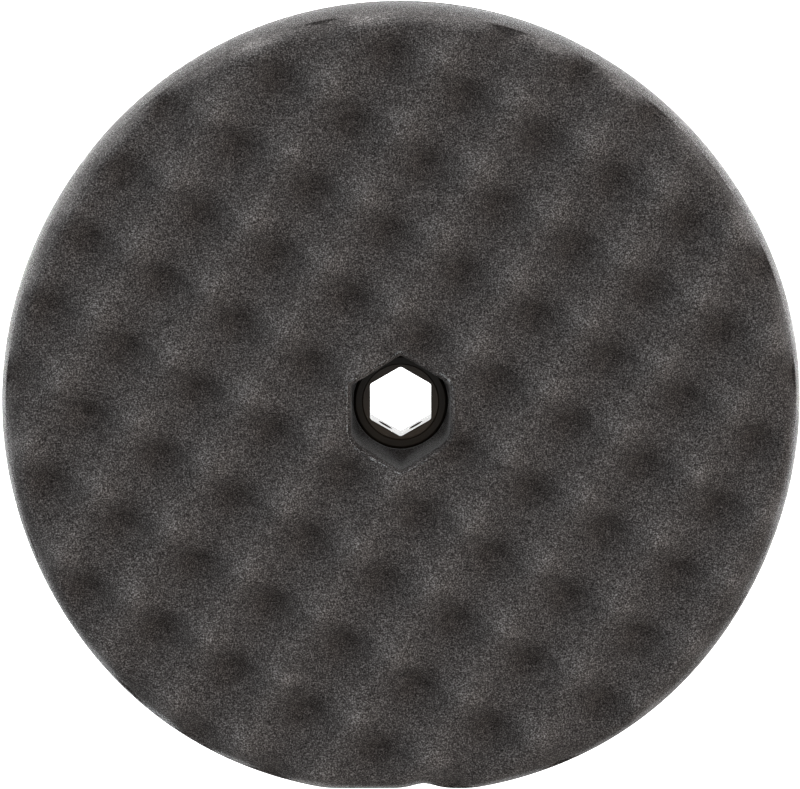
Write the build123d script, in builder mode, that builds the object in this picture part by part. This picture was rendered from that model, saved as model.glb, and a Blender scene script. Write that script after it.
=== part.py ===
from build123d import *
import math
import os

# Double-sided foam polishing pad with a hexagonal quick-connect hub.
# Two thick convoluted foam discs are bonded to a stiff two-piece core, and the
# core is riveted between the two halves of the hub, which hold a hex sleeve.
# Millimetres. The origin is the hub's centre, +Z is the spin axis and points
# out of the front foam, and every hexagon has its corners on +Y and -Y.
hexagon_sides = 6
corner_turn = 30  # degrees that turn a hexagon so that a corner points along +Y

# Driving dimensions of the foams
pad_radius = 104.0  # widest point of a foam, on its side
pad_thickness = 63.5  # front face to rear face, 2.5 in
face_radius = 97.5  # edge of the working face before it is rounded
shoulder_radius = 5.0  # rounding of that edge
widest_height = 6.5  # height of the widest point above the mid-plane
seam_radius = 100.8  # bottom of the groove between the two foams
seam_half_gap = 0.6  # half the slot that is left between the two foams
well_across_flats = 25.4  # hexagonal well from each face down to the hub
well_foot_radius = 12.4  # the well's corners fill in to this circle round the boss
well_corner_height = 18.0  # height above which the corners are full

# Driving dimensions of the core
plate_radius = 82.5
plate_thickness = 2.0
film_thickness = 0.3  # adhesive film that bonds a foam to its plate
pocket_clearance = 1.0  # radial room round the plate and the hub flange

# Driving dimensions of the hub
hub_length = 12.7
boss_radius = 11.9
boss_rim_proud = 0.6  # the boss rim stands above the end of the sleeve
boss_rim_chamfer = 0.25
boss_mouth_chamfer = 0.3
flange_radius = 22.0
flange_thickness = 2.2
flange_fillet = 1.0
spigot_radius = 14.0  # part of a hub half that locates the plate
drive_across_flats = 16.0  # 5/8 in hexagonal drive shaft with running room
drive_corner_radius = 1.0
drive_lead_in = 0.25
sleeve_radius = 9.8
collar_across_flats = 21.8  # keys the sleeve in the hub halves
collar_thickness = 5.0
fit_clearance = 0.05  # all round a piece that sits in another
detent_radius = 2.0  # holes that the drive shaft's spring ball snaps into

# Driving dimensions of the rivets
rivet_count = 6
rivet_circle_radius = 17.6
rivet_shank_radius = 1.5
rivet_head_radius = 2.7
rivet_head_height = 0.9
rivet_dome_radius = 0.72
rivet_head_clearance = 0.5  # between a rivet head and the foam over it

# Worked-out heights above the mid-plane
face_height = pad_thickness / 2
film_top = plate_thickness + film_thickness
flange_top = plate_thickness + flange_thickness
flange_pocket_radius = flange_radius + pocket_clearance
flange_pocket_top = flange_top + rivet_head_height + rivet_head_clearance
boss_top = hub_length / 2
sleeve_top = boss_top - boss_rim_proud
collar_top = collar_thickness / 2
well_corner_radius = well_across_flats / math.sqrt(3)
well_corner_slope = (well_corner_radius - well_foot_radius) / (
    well_corner_height - flange_pocket_top
)
well_cut_length = face_height - flange_pocket_top + pocket_clearance

os.makedirs("parts", exist_ok=True)


# The hollow of a well: a hexagonal prism whose corners are cut back by a cone
# towards the hub, so that the foam closes in round the boss.
with BuildPart() as well_hollow:
    with BuildSketch(Plane.XY.offset(flange_pocket_top)):
        RegularPolygon(
            well_across_flats / 2,
            side_count=hexagon_sides,
            major_radius=False,
            rotation=corner_turn,
        )
    extrude(amount=well_cut_length)
    with Locations((0, 0, flange_pocket_top)):
        Cone(
            well_foot_radius,
            well_foot_radius + well_corner_slope * well_cut_length,
            well_cut_length,
            align=(Align.CENTER, Align.CENTER, Align.MIN),
            mode=Mode.INTERSECT,
        )


# Foams: a revolved disc with a rounded shoulder and bulging side, a shallow
# pocket for the hub flange at the back, and the well from the face to the hub.
with BuildPart() as front_foam:
    with BuildSketch(Plane.XZ) as foam_profile:
        with BuildLine():
            Polyline(
                (0, film_top),
                (plate_radius + pocket_clearance, film_top),
                (plate_radius + pocket_clearance, seam_half_gap),
                (seam_radius, seam_half_gap),
            )
            TangentArc((pad_radius, widest_height), (seam_radius, seam_half_gap), tangent=(0, -1))
            TangentArc((pad_radius, widest_height), (face_radius, face_height), tangent=(0, 1))
            Polyline((face_radius, face_height), (0, face_height), (0, film_top))
        make_face()
        face_edge = foam_profile.vertices().group_by(Axis.Y)[-1].sort_by(Axis.X)[-1]
        fillet(face_edge, shoulder_radius)
    revolve(axis=Axis.Z)
    with BuildSketch(Plane.XY.offset(film_top)):
        Circle(flange_pocket_radius)
    extrude(amount=flange_pocket_top - film_top, mode=Mode.SUBTRACT)
    add(well_hollow.part, mode=Mode.SUBTRACT)

with BuildPart() as rear_foam:
    mirror(front_foam.part, about=Plane.XY)


# Adhesive films: thin rings between each foam and its plate.
with BuildPart() as front_adhesive_film:
    with BuildSketch(Plane.XY.offset(plate_thickness)):
        Circle(plate_radius)
        Circle(flange_pocket_radius, mode=Mode.SUBTRACT)
    extrude(amount=film_thickness)

with BuildPart() as rear_adhesive_film:
    mirror(front_adhesive_film.part, about=Plane.XY)


# Backing plates: stiff discs laid back to back, located on the hub's spigots.
with BuildPart() as front_backing_plate:
    with BuildSketch():
        Circle(plate_radius)
        Circle(spigot_radius + fit_clearance, mode=Mode.SUBTRACT)
        with PolarLocations(rivet_circle_radius, rivet_count):
            Circle(rivet_shank_radius + fit_clearance, mode=Mode.SUBTRACT)
    extrude(amount=plate_thickness)

with BuildPart() as rear_backing_plate:
    mirror(front_backing_plate.part, about=Plane.XY)


# Hub halves: boss, flange and spigot in one moulding, with a round bore for
# the sleeve and a hexagonal pocket at the mid-plane for the sleeve's collar.
with BuildPart() as hub_front_half:
    with BuildSketch():
        Circle(spigot_radius)
    extrude(amount=plate_thickness)
    with BuildSketch(Plane.XY.offset(plate_thickness)):
        Circle(flange_radius)
    extrude(amount=flange_thickness)
    with BuildSketch(Plane.XY.offset(flange_top)):
        Circle(boss_radius)
    extrude(amount=boss_top - flange_top)
    boss_rim = hub_front_half.edges().filter_by(GeomType.CIRCLE).group_by(Axis.Z)[-1]
    chamfer(boss_rim, boss_rim_chamfer)
    boss_root = (
        hub_front_half.edges()
        .filter_by(GeomType.CIRCLE)
        .filter_by_position(Axis.Z, flange_top, flange_top)
        .sort_by(SortBy.RADIUS)[0]
    )
    fillet(boss_root, flange_fillet)
    with BuildSketch():
        Circle(sleeve_radius + fit_clearance)
    extrude(amount=boss_top, mode=Mode.SUBTRACT)
    boss_top_edges = hub_front_half.edges().filter_by(GeomType.CIRCLE).group_by(Axis.Z)[-1]
    chamfer(boss_top_edges.sort_by(SortBy.RADIUS)[0], boss_mouth_chamfer)
    with BuildSketch():
        RegularPolygon(
            collar_across_flats / 2 + fit_clearance,
            side_count=hexagon_sides,
            major_radius=False,
            rotation=corner_turn,
        )
    extrude(amount=collar_top + fit_clearance, mode=Mode.SUBTRACT)
    with BuildSketch():
        with PolarLocations(rivet_circle_radius, rivet_count):
            Circle(rivet_shank_radius + fit_clearance)
    extrude(amount=flange_top, mode=Mode.SUBTRACT)

with BuildPart() as hub_rear_half:
    mirror(hub_front_half.part, about=Plane.XY)


# Hex sleeve: the drive bore, a hexagonal collar that keys it in the hub, and
# one detent hole through the middle of each flat of the bore.
with BuildPart() as hex_sleeve:
    with BuildSketch(Plane.XY.offset(-sleeve_top)):
        Circle(sleeve_radius)
    extrude(amount=2 * sleeve_top)
    with BuildSketch(Plane.XY.offset(-collar_top)):
        RegularPolygon(
            collar_across_flats / 2, side_count=hexagon_sides, major_radius=False, rotation=corner_turn
        )
    extrude(amount=collar_thickness)
    with BuildSketch(Plane.XY.offset(-sleeve_top)) as drive_bore:
        RegularPolygon(
            drive_across_flats / 2, side_count=hexagon_sides, major_radius=False, rotation=corner_turn
        )
        fillet(drive_bore.vertices(), drive_corner_radius)
    extrude(amount=2 * sleeve_top, mode=Mode.SUBTRACT)
    for end in (-1, 1):
        end_face = hex_sleeve.faces().sort_by(Axis.Z)[0 if end < 0 else -1]
        chamfer(end_face.inner_wires()[0].edges(), drive_lead_in)
    for flat in range(hexagon_sides):
        flat_direction = Vector(1, 0, 0).rotate(Axis.Z, 360 / hexagon_sides * flat)
        with BuildSketch(Plane(origin=(0, 0, 0), z_dir=flat_direction)):
            Circle(detent_radius)
        extrude(amount=collar_across_flats, mode=Mode.SUBTRACT)


# Rivets: a shank through both flanges and plates, with a domed head at each end.
with BuildPart() as hub_rivets:
    with PolarLocations(rivet_circle_radius, rivet_count):
        Cylinder(rivet_shank_radius, 2 * flange_top)
    for side in (1, -1):
        with BuildSketch(Plane.XY.offset(side * flange_top)) as rivet_heads:
            with PolarLocations(rivet_circle_radius, rivet_count):
                Circle(rivet_head_radius)
        extrude(amount=side * rivet_head_height)
    head_rims = hub_rivets.edges().filter_by(GeomType.CIRCLE).group_by(Axis.Z)
    fillet(head_rims[0] + head_rims[-1], rivet_dome_radius)


pieces = {
    "front_foam": front_foam,
    "rear_foam": rear_foam,
    "front_adhesive_film": front_adhesive_film,
    "rear_adhesive_film": rear_adhesive_film,
    "front_backing_plate": front_backing_plate,
    "rear_backing_plate": rear_backing_plate,
    "hub_front_half": hub_front_half,
    "hub_rear_half": hub_rear_half,
    "hex_sleeve": hex_sleeve,
    "hub_rivets": hub_rivets,
}
for piece_name, piece in pieces.items():
    piece.part.label = piece_name
    export_step(piece.part, f"parts/{piece_name}.step")
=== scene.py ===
import math

import bpy
import numpy as np
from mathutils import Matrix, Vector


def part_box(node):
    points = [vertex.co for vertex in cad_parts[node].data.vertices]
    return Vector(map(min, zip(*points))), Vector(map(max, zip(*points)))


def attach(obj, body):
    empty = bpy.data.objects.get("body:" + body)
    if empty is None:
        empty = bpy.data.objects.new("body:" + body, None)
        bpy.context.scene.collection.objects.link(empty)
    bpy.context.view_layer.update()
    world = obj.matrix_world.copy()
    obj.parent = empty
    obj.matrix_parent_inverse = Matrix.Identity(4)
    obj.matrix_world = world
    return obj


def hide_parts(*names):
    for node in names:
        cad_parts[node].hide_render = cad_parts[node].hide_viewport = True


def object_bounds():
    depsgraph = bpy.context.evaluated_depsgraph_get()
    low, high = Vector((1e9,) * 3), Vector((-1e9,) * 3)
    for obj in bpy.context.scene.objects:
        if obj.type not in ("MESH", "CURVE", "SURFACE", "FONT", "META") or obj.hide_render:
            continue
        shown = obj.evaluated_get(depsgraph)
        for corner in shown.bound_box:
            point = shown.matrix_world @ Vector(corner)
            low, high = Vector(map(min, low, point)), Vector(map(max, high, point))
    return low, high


# Double-sided foam polishing pad, lying flat with its spin axis along +Z.
# Lengths are metres, in the CAD model's frame. The two foams are built here in
# full detail and stand for their plain CAD solids; the hub and core are the
# CAD nodes with better materials.

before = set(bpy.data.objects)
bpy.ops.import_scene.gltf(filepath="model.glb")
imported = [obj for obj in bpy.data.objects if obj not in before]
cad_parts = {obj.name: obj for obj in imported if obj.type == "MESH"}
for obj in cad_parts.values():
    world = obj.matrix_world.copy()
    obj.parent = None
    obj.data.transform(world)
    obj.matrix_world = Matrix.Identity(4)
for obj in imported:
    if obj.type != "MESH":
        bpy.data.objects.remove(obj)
cad_low, cad_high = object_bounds()
MM = 0.001

# Foam shape. The outer sizes are the CAD model's own. The side is an arc that
# is upright at the widest height and leans in towards the face, and a smaller
# arc rolls it under to the seam between the two foams.
foam_low, foam_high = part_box("front_foam")
film_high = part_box("front_adhesive_film")[1]
hub_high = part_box("hub_front_half")[1]
rivets_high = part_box("hub_rivets")[1]
POCKET_CLEARANCE = 1.0 * MM
RIVET_HEAD_CLEARANCE = 0.5 * MM
SEAM_INSET = 3.2 * MM
FACE_INSET = 6.5 * MM
PAD_RADIUS = foam_high.x
FACE_HEIGHT = foam_high.z
SEAM_HALF_GAP = foam_low.z
BOND_HEIGHT = film_high.z
PLATE_POCKET_RADIUS = film_high.x + POCKET_CLEARANCE
FLANGE_POCKET_RADIUS = hub_high.x + POCKET_CLEARANCE
FLANGE_POCKET_TOP = rivets_high.z + RIVET_HEAD_CLEARANCE
WIDEST_HEIGHT = 6.5 * MM
SEAM_RADIUS = PAD_RADIUS - SEAM_INSET
SIDE_TOP_RADIUS = PAD_RADIUS - FACE_INSET
SHOULDER_SOFTNESS = 2.2 * MM
SHOULDER_FOOT = FACE_HEIGHT - 9.0 * MM

# Hexagonal well. Each corner has its own sharpness, because the cut foam has
# relaxed, and all of them fill in to a circle round the hub's boss.
WELL_ACROSS_FLATS = 25.4 * MM
WELL_CORNER_AZIMUTHS = (30, 90, 150, 210, 270, 330)
WELL_CORNER_SHARPNESS = (14, 60, 60, 10, 30, 11)
WELL_RIM_ROUNDING = 1.5 * MM
WELL_FOOT_RADIUS = 12.4 * MM
WELL_FULL_CORNER_HEIGHT = 18.0 * MM
FOOT_SOFTNESS = 0.25 * MM

# The side has a flat at -Y where the pad has stood, with a nick beside it, and
# its outline wavers slightly: each wave is a count round the rim, the height
# of the wave and the azimuth of one crest in degrees. All of this grows from
# nothing at one share of the pad's radius to its full size at another.
FLAT_DEPTH = 2.2 * MM
FLAT_SOFTNESS = 0.2 * MM
NICK_DEPTH = 1.3 * MM
NICK_AZIMUTH = math.radians(273.5)
NICK_WIDTH = math.radians(2.3)
OUTLINE_WAVES = (
    (3, 0.21 * MM, -24),
    (4, 0.15 * MM, 39),
    (5, 0.18 * MM, 18),
    (6, 0.16 * MM, 3),
)
OUTLINE_STARTS = 0.8 * PAD_RADIUS
OUTLINE_GROWS_OVER = 0.15 * PAD_RADIUS

# Convolutions of the working face: a lattice of round hollows with a softer
# peak between them. Each lattice row is given by its spacing and its
# direction. A tightness is how narrow a hollow or a peak is in its cell, and
# the peaks lean away from the cell's middle along the second row.
ROW_SPACING = (21.73 * MM, 19.78 * MM)
ROW_DIRECTION = (math.radians(-29.6), math.radians(60.1))
HOLLOW_AT = (6.6 * MM, 17.8 * MM)
HOLLOW_DEPTH = 5.6 * MM
HOLLOW_TIGHTNESS = 1.0
PEAK_HEIGHT = 3.6 * MM
PEAK_TIGHTNESS = (1.0, 0.7)
PEAK_LEAN = math.radians(95)

# The rear foam's lattice is turned and shifted against the front one's.
REAR_TURN = math.radians(37)
REAR_SHIFT = (5 * MM, 3 * MM)

# Painted shade and highlight: peaks are painted pale as if lit and hollows
# dark as if shaded, only near the face: the painted contrast starts at one
# height on the side and is full a little above it.
PAINTED_LIGHT_STARTS = 20 * MM
PAINTED_LIGHT_GROWS_OVER = 5 * MM

# How finely the foams are meshed
SEGMENTS = 560
FACE_STEP = 0.9 * MM
HEXAGON_FADES_OVER = 9 * MM
BOND_RINGS = 7
SEAM_RINGS = 4
ROLL_RINGS = 7
SIDE_RINGS = 19
SHOULDER_RINGS = 13
WELL_RIM_RINGS = 6
WELL_WALL_RINGS = 24


# ---------------------------------------------------------------- foam meshes
def arc_radius(inset, rise):
    """Radius of an arc that starts upright and moves in by inset over rise."""
    return (inset**2 + rise**2) / (2 * inset)


SIDE_ARC = arc_radius(PAD_RADIUS - SIDE_TOP_RADIUS, FACE_HEIGHT - WIDEST_HEIGHT)
ROLL_ARC = arc_radius(PAD_RADIUS - SEAM_RADIUS, WIDEST_HEIGHT - SEAM_HALF_GAP)


def side_radius(z):
    """Radius of the side at a height above its widest point."""
    return PAD_RADIUS - SIDE_ARC + np.sqrt(SIDE_ARC**2 - (z - WIDEST_HEIGHT) ** 2)


def side_height(radius):
    """Height of the same arc at a radius, carried on inwards above the face."""
    across = np.clip(radius - (PAD_RADIUS - SIDE_ARC), 0, SIDE_ARC)
    return WIDEST_HEIGHT + np.sqrt(SIDE_ARC**2 - across**2)


def roll_radius(z):
    """Radius of the side between the seam and its widest point."""
    return PAD_RADIUS - ROLL_ARC + math.sqrt(ROLL_ARC**2 - (WIDEST_HEIGHT - z) ** 2)


def soft_min(a, b, softness):
    """The lower of two values, with the corner where they cross rounded off."""
    lower = np.minimum(a, b)
    return lower - softness * np.log(
        np.exp((lower - a) / softness) + np.exp((lower - b) / softness)
    )


def hexagon_radius(angle):
    """Distance from the axis to the well's hexagon, corners on +Y and -Y."""
    flats = np.radians(60.0 * np.arange(6))
    power = np.interp(
        np.degrees(angle), WELL_CORNER_AZIMUTHS, WELL_CORNER_SHARPNESS, period=360
    )
    reach = np.maximum(np.cos(angle[..., None] - flats), 1e-6) ** power[..., None]
    return WELL_ACROSS_FLATS / 2 * reach.sum(-1) ** (-1.0 / power)


def well_radius(hexagon, height):
    """The hexagon, with its corners filled in by a cone towards the hub."""
    corner = WELL_ACROSS_FLATS / math.sqrt(3)
    slope = (corner - WELL_FOOT_RADIUS) / (WELL_FULL_CORNER_HEIGHT - FLANGE_POCKET_TOP)
    cone = WELL_FOOT_RADIUS + slope * (height - FLANGE_POCKET_TOP)
    return soft_min(hexagon, cone, FOOT_SOFTNESS)


def outline_shift(angle, nick):
    """How far the side stands out from a true circle at each azimuth."""
    waver = sum(
        height * np.cos(count * (angle - math.radians(crest)))
        for count, height, crest in OUTLINE_WAVES
    )
    downward = np.maximum(-np.sin(angle), 1e-3)
    flat = (PAD_RADIUS - FLAT_DEPTH) / downward
    shift = soft_min(PAD_RADIUS + waver, flat, FLAT_SOFTNESS) - PAD_RADIUS
    from_nick = (angle - NICK_AZIMUTH) / NICK_WIDTH
    return shift - nick * NICK_DEPTH * np.exp(-(from_nick**2))


def convolution(x, y, turn, shift):
    """How much of a hollow and how much of a peak there is at a place, 0 to 1."""
    c, s = math.cos(turn), math.sin(turn)
    px = c * x + s * y - HOLLOW_AT[0] - shift[0]
    py = -s * x + c * y - HOLLOW_AT[1] - shift[1]
    ax, ay = (ROW_SPACING[0] * f(ROW_DIRECTION[0]) for f in (math.cos, math.sin))
    bx, by = (ROW_SPACING[1] * f(ROW_DIRECTION[1]) for f in (math.cos, math.sin))
    area = ax * by - ay * bx
    u = 2 * math.pi * (px * by - py * bx) / area
    v = 2 * math.pi * (ax * py - ay * px) / area
    hollow = np.exp(HOLLOW_TIGHTNESS * (np.cos(u) + np.cos(v) - 2))
    across, along = PEAK_TIGHTNESS
    peak = np.exp(-across * (np.cos(u) + 1) + along * (np.cos(v - PEAK_LEAN) - 1))
    return hollow, peak


def foam_rings(angle, turn, shift):
    """Closed loop of rings, each a radius and a height for every angle, and the
    number of the ring at which the well starts."""
    hexagon = hexagon_radius(angle)
    rings = []

    def ring(radius, height):
        full = np.ones_like(angle)
        rings.append((radius * full, height * full))

    def face_point(radius):
        hollow, peak = convolution(
            radius * np.cos(angle), radius * np.sin(angle), turn, shift
        )
        top = FACE_HEIGHT + PEAK_HEIGHT * (peak - 1) - HOLLOW_DEPTH * hollow
        return soft_min(top, side_height(radius), SHOULDER_SOFTNESS)

    # the bonded back, from the foot of the well out to the seam
    ring(well_radius(hexagon, FLANGE_POCKET_TOP), FLANGE_POCKET_TOP)
    ring(FLANGE_POCKET_RADIUS, FLANGE_POCKET_TOP)
    ring(FLANGE_POCKET_RADIUS, BOND_HEIGHT)
    for radius in np.linspace(FLANGE_POCKET_RADIUS, PLATE_POCKET_RADIUS, BOND_RINGS + 1)[1:]:
        ring(radius, BOND_HEIGHT)
    ring(PLATE_POCKET_RADIUS, SEAM_HALF_GAP)
    for radius in np.linspace(PLATE_POCKET_RADIUS, SEAM_RADIUS, SEAM_RINGS + 1)[1:]:
        ring(radius, SEAM_HALF_GAP)
    # round the seam edge and up the side
    for z in np.linspace(SEAM_HALF_GAP, WIDEST_HEIGHT, ROLL_RINGS + 1)[1:]:
        ring(roll_radius(z), z)
    for z in np.linspace(WIDEST_HEIGHT, SHOULDER_FOOT, SIDE_RINGS + 1)[1:]:
        ring(side_radius(z), z)
    # over the shoulder, where the convoluted face cuts the side
    foot_radius = side_radius(SHOULDER_FOOT)
    for radius in np.linspace(foot_radius, SIDE_TOP_RADIUS, SHOULDER_RINGS + 1)[1:]:
        ring(radius, face_point(radius))
    # across the working face, from round to hexagonal
    well = WELL_ACROSS_FLATS / 2
    steps = int((SIDE_TOP_RADIUS - well) / FACE_STEP)
    for radius in np.linspace(SIDE_TOP_RADIUS, well, steps)[1:-1]:
        hexness = math.exp(-(radius - well) / HEXAGON_FADES_OVER)
        bent = radius + (hexagon - well) * hexness
        ring(bent, face_point(bent))
    # round the rim of the well and down its wall
    rim_start = len(rings)
    rim = face_point(hexagon)
    for quarter in np.radians(np.linspace(0, 90, WELL_RIM_RINGS)):
        out = WELL_RIM_ROUNDING * (1 - math.sin(quarter))
        down = WELL_RIM_ROUNDING * (1 - math.cos(quarter))
        ring(hexagon + out, rim - down)
    for share in np.linspace(0, 1, WELL_WALL_RINGS + 2)[1:-1]:
        height = (rim - WELL_RIM_ROUNDING) * (1 - share) + FLANGE_POCKET_TOP * share
        ring(well_radius(hexagon, height), height)
    return rings, rim_start


def build_foam(name, side, turn=0.0, shift=(0.0, 0.0), nick=0.0):
    """One foam as a closed mesh of quads; side is 1 in front and -1 behind."""
    angle = np.linspace(0, 2 * math.pi, SEGMENTS, endpoint=False)
    rings, rim_start = foam_rings(angle, turn, shift)
    count = len(rings)
    radius = np.array([r for r, z in rings])
    height = np.array([z for r, z in rings])
    outward = np.clip((radius - OUTLINE_STARTS) / OUTLINE_GROWS_OVER, 0, 1) ** 2
    radius += outline_shift(angle, nick) * outward
    points = np.stack([radius * np.cos(angle), radius * np.sin(angle), height * side], -1)
    # painted shade in the hollows and painted highlight on the peaks, kept as a point
    # attribute for the foam's colour
    hollow, peak = convolution(points[..., 0], points[..., 1], turn, shift)
    near_face = np.clip((height - PAINTED_LIGHT_STARTS) / PAINTED_LIGHT_GROWS_OVER, 0, 1)
    painted_relief_light = 0.5 + 0.5 * (peak - hollow) * near_face
    here = np.arange(count)[:, None] * SEGMENTS + np.arange(SEGMENTS)[None, :]
    after = np.roll(here, -1, 0)
    quads = np.stack([here, after, np.roll(after, -1, 1), np.roll(here, -1, 1)], -1)
    if side > 0:
        quads = quads[..., ::-1]
    mesh = bpy.data.meshes.new(name)
    mesh.from_pydata(points.reshape(-1, 3).tolist(), [], quads.reshape(-1, 4).tolist())
    mesh.polygons.foreach_set("use_smooth", [True] * len(mesh.polygons))
    in_well = np.repeat(np.arange(count) >= rim_start, SEGMENTS)
    mesh.polygons.foreach_set("material_index", in_well.astype(np.int32))
    shade = mesh.attributes.new("painted_relief_light", "FLOAT", "POINT")
    shade.data.foreach_set("value", np.clip(painted_relief_light, 0, 1).ravel())
    mesh.update()
    foam = bpy.data.objects.new(name, mesh)
    bpy.context.scene.collection.objects.link(foam)
    return foam


# ------------------------------------------------------------------ materials
# Each ramp is a list of positions and colours.
FOAM_CELLS = [
    (0.34, (0.010, 0.008, 0.0075)),
    (0.52, (0.058, 0.052, 0.050)),
    (0.70, (0.19, 0.178, 0.175)),
]
FOAM_MOTTLE = [(0.3, (0.80, 0.80, 0.80)), (0.7, (1.18, 1.18, 1.18))]
# colour multiplier for the painted relief light: painted shade in the hollows, painted
# highlight on the peaks
FOAM_PAINTED_RELIEF_LIGHT = [
    (0.0, (0.78, 0.74, 0.71)),
    (0.5, (0.93, 0.93, 0.93)),
    (1.0, (1.66, 1.68, 1.68)),
]


def new_material(name):
    material = bpy.data.materials.new(name)
    material.use_nodes = True
    nodes, links = material.node_tree.nodes, material.node_tree.links
    shader = nodes["Principled BSDF"]
    return material, nodes, links, shader


def texture(nodes, links, kind, scale, **settings):
    """A texture node on object coordinates, with its inputs set by name."""
    coordinates = nodes.get("Coordinates")
    if coordinates is None:
        coordinates = nodes.new("ShaderNodeTexCoord")
        coordinates.name = "Coordinates"
    node = nodes.new(kind)
    node.inputs["Scale"].default_value = scale
    for key, value in settings.items():
        node.inputs[key].default_value = value
    links.new(coordinates.outputs["Object"], node.inputs["Vector"])
    return node


def ramp(nodes, links, source, stops):
    """Colour of a value between 0 and 1."""
    node = nodes.new("ShaderNodeValToRGB")
    elements = node.color_ramp.elements
    while len(elements) < len(stops):
        elements.new(0.5)
    for element, (position, colour) in zip(elements, stops):
        element.position = position
        element.color = (*colour, 1.0)
    links.new(source, node.inputs["Fac"])
    return node.outputs["Color"]


def multiply(nodes, links, first, second):
    """Product of two colours."""
    node = nodes.new("ShaderNodeMix")
    node.data_type = "RGBA"
    node.blend_type = "MULTIPLY"
    node.inputs["Factor"].default_value = 1.0
    links.new(first, node.inputs["A"])
    links.new(second, node.inputs["B"])
    return node.outputs["Result"]


def add_bump(nodes, links, shader, height, strength, distance):
    node = nodes.new("ShaderNodeBump")
    node.inputs["Strength"].default_value = strength
    node.inputs["Distance"].default_value = distance
    links.new(height, node.inputs["Height"])
    links.new(node.outputs["Normal"], shader.inputs["Normal"])


def foam_material(name, fuzz):
    """Open-cell foam; its fuzz is how much its skin glows when seen edge-on."""
    material, nodes, links, shader = new_material(name)
    grain = texture(nodes, links, "ShaderNodeTexNoise", 2600.0, Detail=2.0, Roughness=0.6)
    cells = texture(nodes, links, "ShaderNodeTexVoronoi", 2100.0)
    mottle = texture(nodes, links, "ShaderNodeTexNoise", 330.0, Detail=3.0, Roughness=0.6)
    # painted shade in the hollows and painted highlight on the peaks, read from the foam's
    # point attribute
    painted_relief_light = nodes.new("ShaderNodeAttribute")
    painted_relief_light.attribute_name = "painted_relief_light"
    colour = ramp(nodes, links, grain.outputs["Fac"], FOAM_CELLS)
    tint = ramp(nodes, links, mottle.outputs["Fac"], FOAM_MOTTLE)
    relief_light_colour = ramp(nodes, links, painted_relief_light.outputs["Fac"], FOAM_PAINTED_RELIEF_LIGHT)
    cloudy = multiply(nodes, links, colour, tint)
    links.new(multiply(nodes, links, cloudy, relief_light_colour), shader.inputs["Base Color"])
    add_bump(nodes, links, shader, cells.outputs["Distance"], 0.6, 0.25 * MM)
    shader.inputs["Roughness"].default_value = 0.95
    shader.inputs["Specular IOR Level"].default_value = 0.25
    shader.inputs["Sheen Weight"].default_value = fuzz
    shader.inputs["Sheen Roughness"].default_value = 0.1
    shader.inputs["Sheen Tint"].default_value = (1.0, 1.0, 1.0, 1.0)
    return material


def moulded_material(name, dark, light, roughness, metallic=0.0):
    """Moulded plastic or plain metal: cloudy colour, fine skin, uneven gloss."""
    material, nodes, links, shader = new_material(name)
    cloud = texture(nodes, links, "ShaderNodeTexNoise", 180.0, Detail=4.0, Roughness=0.6)
    skin = texture(nodes, links, "ShaderNodeTexNoise", 2700.0, Detail=2.0)
    colour = ramp(nodes, links, cloud.outputs["Fac"], [(0.3, dark), (0.7, light)])
    links.new(colour, shader.inputs["Base Color"])
    gloss = nodes.new("ShaderNodeMapRange")
    gloss.inputs["To Min"].default_value = roughness * 0.8
    gloss.inputs["To Max"].default_value = roughness * 1.25
    links.new(cloud.outputs["Fac"], gloss.inputs["Value"])
    links.new(gloss.outputs["Result"], shader.inputs["Roughness"])
    add_bump(nodes, links, shader, skin.outputs["Fac"], 0.12, 0.05 * MM)
    shader.inputs["Metallic"].default_value = metallic
    return material


def dress(nodes, material):
    """Give CAD nodes a material in place of the one they came with."""
    for node in nodes:
        cad_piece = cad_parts[node]
        cad_piece.data.materials.clear()
        cad_piece.data.materials.append(material)


# --------------------------------------------------------------- the two foams
outer_look = foam_material("charcoal_foam", 1.0)
well_look = foam_material("charcoal_foam_well", 0.3)
front = build_foam("front_foam_body", 1, nick=1.0)
rear = build_foam("rear_foam_body", -1, turn=REAR_TURN, shift=REAR_SHIFT)
for foam, node in ((front, "front_foam"), (rear, "rear_foam")):
    foam.data.materials.append(outer_look)
    foam.data.materials.append(well_look)
    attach(foam, "root")
    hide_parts(node)

# ------------------------------------------------------------- hub and core
hub_look = moulded_material(
    "hub_nylon", dark=(0.013, 0.0095, 0.0065), light=(0.021, 0.0155, 0.0105), roughness=0.38
)
sleeve_look = moulded_material(
    "sleeve_acetal", dark=(0.034, 0.025, 0.017), light=(0.052, 0.038, 0.026), roughness=0.22
)
plate_look = moulded_material(
    "plate_plastic", dark=(0.024, 0.024, 0.024), light=(0.036, 0.036, 0.036), roughness=0.6
)
film_look = moulded_material(
    "bonding_film", dark=(0.5, 0.46, 0.34), light=(0.66, 0.62, 0.5), roughness=0.5
)
rivet_look = moulded_material(
    "zinc_steel",
    dark=(0.45, 0.45, 0.44),
    light=(0.62, 0.62, 0.6),
    roughness=0.35,
    metallic=1.0,
)
dress(("hub_front_half", "hub_rear_half"), hub_look)
dress(("hex_sleeve",), sleeve_look)
dress(("front_backing_plate", "rear_backing_plate"), plate_look)
dress(("front_adhesive_film", "rear_adhesive_film"), film_look)
dress(("hub_rivets",), rivet_look)


# ------------------------------------------------------- floor, light, camera
FLOOR_SIZE = 60.0
FLOOR_GLOW = 2.0
SKY_ABOVE = 0.32
SKY_BELOW = 0.12
# The pad's far edge is lit by a bright patch of the surround, given by its
# direction, its strength and how tightly it is gathered.
PATCH_Y, PATCH_Z = 0.54, -0.84
PATCH_STRENGTH = 105.0
PATCH_TIGHTNESS = 8.0
CAMERA_DISTANCE = 0.94
CAMERA_TILT = math.radians(7.4)
CAMERA_AIM = (-0.16 * MM, 1.15 * MM)
CAMERA_LENS = 160.7
CAMERA_SENSOR = 36.0


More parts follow.
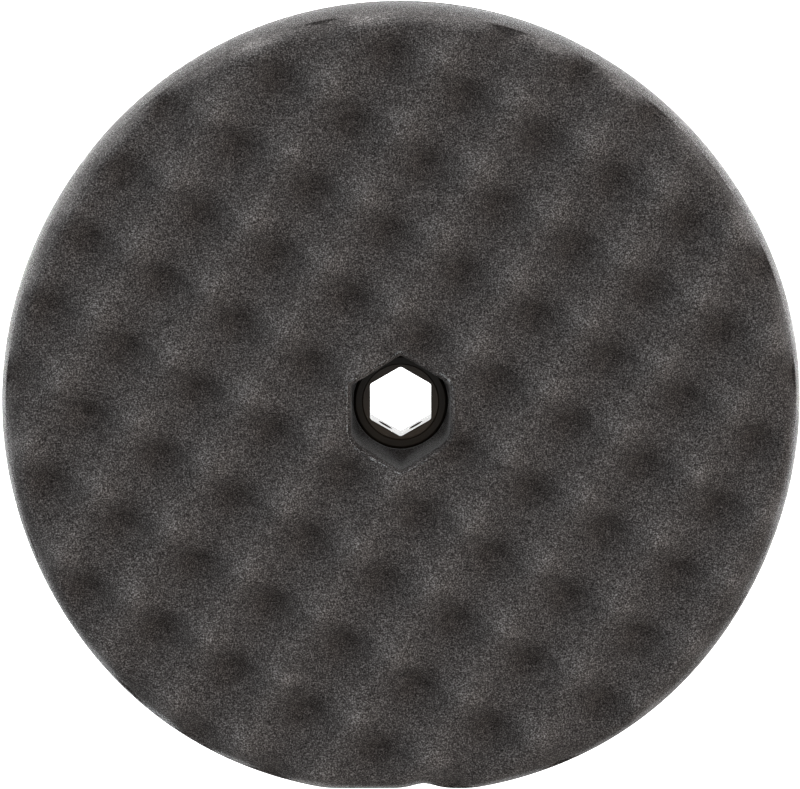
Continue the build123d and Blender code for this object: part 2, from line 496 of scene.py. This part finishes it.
def build_floor():
    """Pale floor that glows by itself and sends no light up onto the pad."""
    mesh = bpy.data.meshes.new("floor")
    half = FLOOR_SIZE / 2
    corners = [(-half, -half), (half, -half), (half, half), (-half, half)]
    mesh.from_pydata([(x, y, cad_low.z) for x, y in corners], [], [(0, 1, 2, 3)])
    floor = bpy.data.objects.new("floor", mesh)
    bpy.context.scene.collection.objects.link(floor)
    material, nodes, links, shader = new_material("white_floor")
    shader.inputs["Base Color"].default_value = (0.2, 0.2, 0.2, 1.0)
    shader.inputs["Roughness"].default_value = 0.8
    shader.inputs["Emission Color"].default_value = (1.0, 1.0, 1.0, 1.0)
    shader.inputs["Emission Strength"].default_value = FLOOR_GLOW
    floor.visible_diffuse = False
    mesh.materials.append(material)


def area_light(name, place, size, power, colour=(1.0, 1.0, 1.0), shine=True):
    """Disc of light that faces the pad; shine is whether it shows in gloss."""
    data = bpy.data.lights.new(name, "AREA")
    data.shape = "DISK"
    data.size = size
    data.energy = power
    data.color = colour
    light = bpy.data.objects.new(name, data)
    light.visible_glossy = shine
    light.location = place
    direction = -light.location
    light.rotation_euler = direction.to_track_quat("-Z", "Y").to_euler()
    bpy.context.scene.collection.objects.link(light)


def build_world():
    """White surround: even above the horizon, and below it brighter towards +Y."""
    world = bpy.data.worlds.new("studio")
    world.use_nodes = True
    nodes, links = world.node_tree.nodes, world.node_tree.links
    background = nodes["Background"]
    background.inputs["Color"].default_value = (1.0, 1.0, 1.0, 1.0)
    direction = nodes.new("ShaderNodeTexCoord")
    axes = nodes.new("ShaderNodeSeparateXYZ")
    links.new(direction.outputs["Generated"], axes.inputs["Vector"])

    def math_node(operation, *values):
        node = nodes.new("ShaderNodeMath")
        node.operation = operation
        for socket, value in zip(node.inputs, values):
            if isinstance(value, float):
                socket.default_value = value
            else:
                links.new(value, socket)
        return node.outputs["Value"]

    level = math_node("MULTIPLY", axes.outputs["Y"], PATCH_Y)
    towards = math_node("MULTIPLY_ADD", axes.outputs["Z"], PATCH_Z, level)
    patch = math_node("POWER", math_node("MAXIMUM", towards, 0.0), PATCH_TIGHTNESS)
    low = math_node("MULTIPLY_ADD", patch, PATCH_STRENGTH, SKY_BELOW - SKY_ABOVE)
    is_low = math_node("LESS_THAN", axes.outputs["Z"], 0.0)
    strength = math_node("MULTIPLY_ADD", low, is_low, SKY_ABOVE)
    links.new(strength, background.inputs["Strength"])
    bpy.context.scene.world = world


def build_camera():
    """Long lens, looking down at the front face from slightly towards +Y."""
    data = bpy.data.cameras.new("camera")
    data.lens = CAMERA_LENS
    data.sensor_width = CAMERA_SENSOR
    camera = bpy.data.objects.new("camera", data)
    camera.location = (
        CAMERA_AIM[0],
        CAMERA_AIM[1] + CAMERA_DISTANCE * math.sin(CAMERA_TILT),
        CAMERA_DISTANCE * math.cos(CAMERA_TILT),
    )
    camera.rotation_euler = (-CAMERA_TILT, 0.0, 0.0)
    bpy.context.scene.collection.objects.link(camera)
    bpy.context.scene.camera = camera


build_floor()
area_light("cool_light_left", (-1.2, 0.7, 0.7), size=0.8, power=7.0, colour=(0.80, 0.93, 1.0))
area_light("warm_light_right", (1.2, -0.7, 0.7), size=0.8, power=7.0, colour=(1.0, 0.92, 0.84))
area_light("soft_box_above", (0.0, 0.5, 1.5), size=1.0, power=11.5, shine=False)
build_world()
build_camera()
bpy.context.scene.view_settings.view_transform = "Standard"
